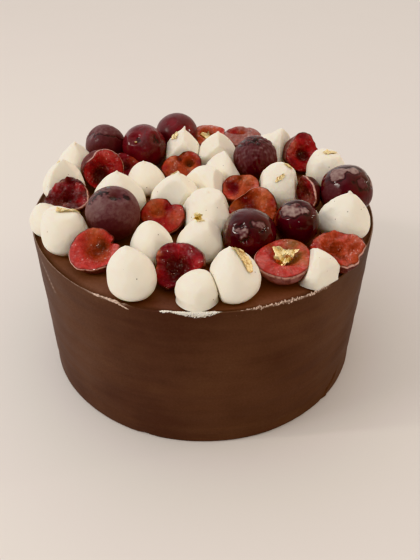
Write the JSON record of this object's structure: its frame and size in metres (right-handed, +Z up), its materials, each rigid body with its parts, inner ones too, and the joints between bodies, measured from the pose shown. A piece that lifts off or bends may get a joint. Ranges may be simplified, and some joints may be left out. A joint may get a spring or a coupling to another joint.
{
  "type": "black forest cake",
  "caption": "Tall round cake in a scraped chocolate coat, its flat top crowded with piped cream kisses, whole dark cherries, pitted cherry halves and scraps of gold leaf.",
  "frame": {"origin": "middle of the flat underside of the cake", "axes": "+Z up, the front of the cake faces -Y"},
  "size_m": [0.1603, 0.1597, 0.1018],
  "materials": {
    "chocolate_coat": "set chocolate coat, scraped smooth, dull with a faint sheen",
    "whipped_cream": "piped vanilla cream, soft satin",
    "cherry_skin": "dark cherry skin, glossy where thawed and dull where frosted",
    "cherry_flesh": "cut cherry flesh, wet",
    "gold_leaf": "crumpled edible gold leaf"
  },
  "bodies": {
    "root": {"cake_body": "chocolate_coat", "kiss_01": "whipped_cream", "kiss_02": "whipped_cream", "kiss_03": "whipped_cream", "kiss_04": "whipped_cream", "kiss_05": "whipped_cream", "kiss_06": "whipped_cream", "kiss_07": "whipped_cream", "kiss_08": "whipped_cream", "kiss_09": "whipped_cream", "kiss_10": "whipped_cream", "kiss_11": "whipped_cream", "kiss_12": "whipped_cream", "kiss_13": "whipped_cream", "kiss_14": "whipped_cream", "kiss_15": "whipped_cream", "kiss_16": "whipped_cream", "kiss_17": "whipped_cream", "kiss_18": "whipped_cream", "kiss_19": "whipped_cream", "kiss_20": "whipped_cream", "kiss_21": "whipped_cream", "kiss_22": "whipped_cream", "kiss_23": "whipped_cream", "cherry_01": "cherry_skin", "cherry_02": "cherry_skin", "cherry_03": "cherry_skin", "cherry_04": "cherry_skin", "cherry_05": "cherry_skin", "cherry_06": "cherry_skin", "cherry_07": "cherry_skin", "cherry_08": "cherry_skin", "half_01": "cherry_flesh", "half_02": "cherry_flesh", "half_03": "cherry_flesh", "half_04": "cherry_flesh", "half_05": "cherry_flesh", "half_06": "cherry_flesh", "half_07": "cherry_flesh", "half_08": "cherry_flesh", "half_09": "cherry_flesh", "half_10": "cherry_flesh", "half_11": "cherry_flesh", "half_12": "cherry_flesh", "half_13": "cherry_flesh", "half_14": "cherry_flesh", "half_15": "cherry_flesh"}
  },
  "joints": []
}
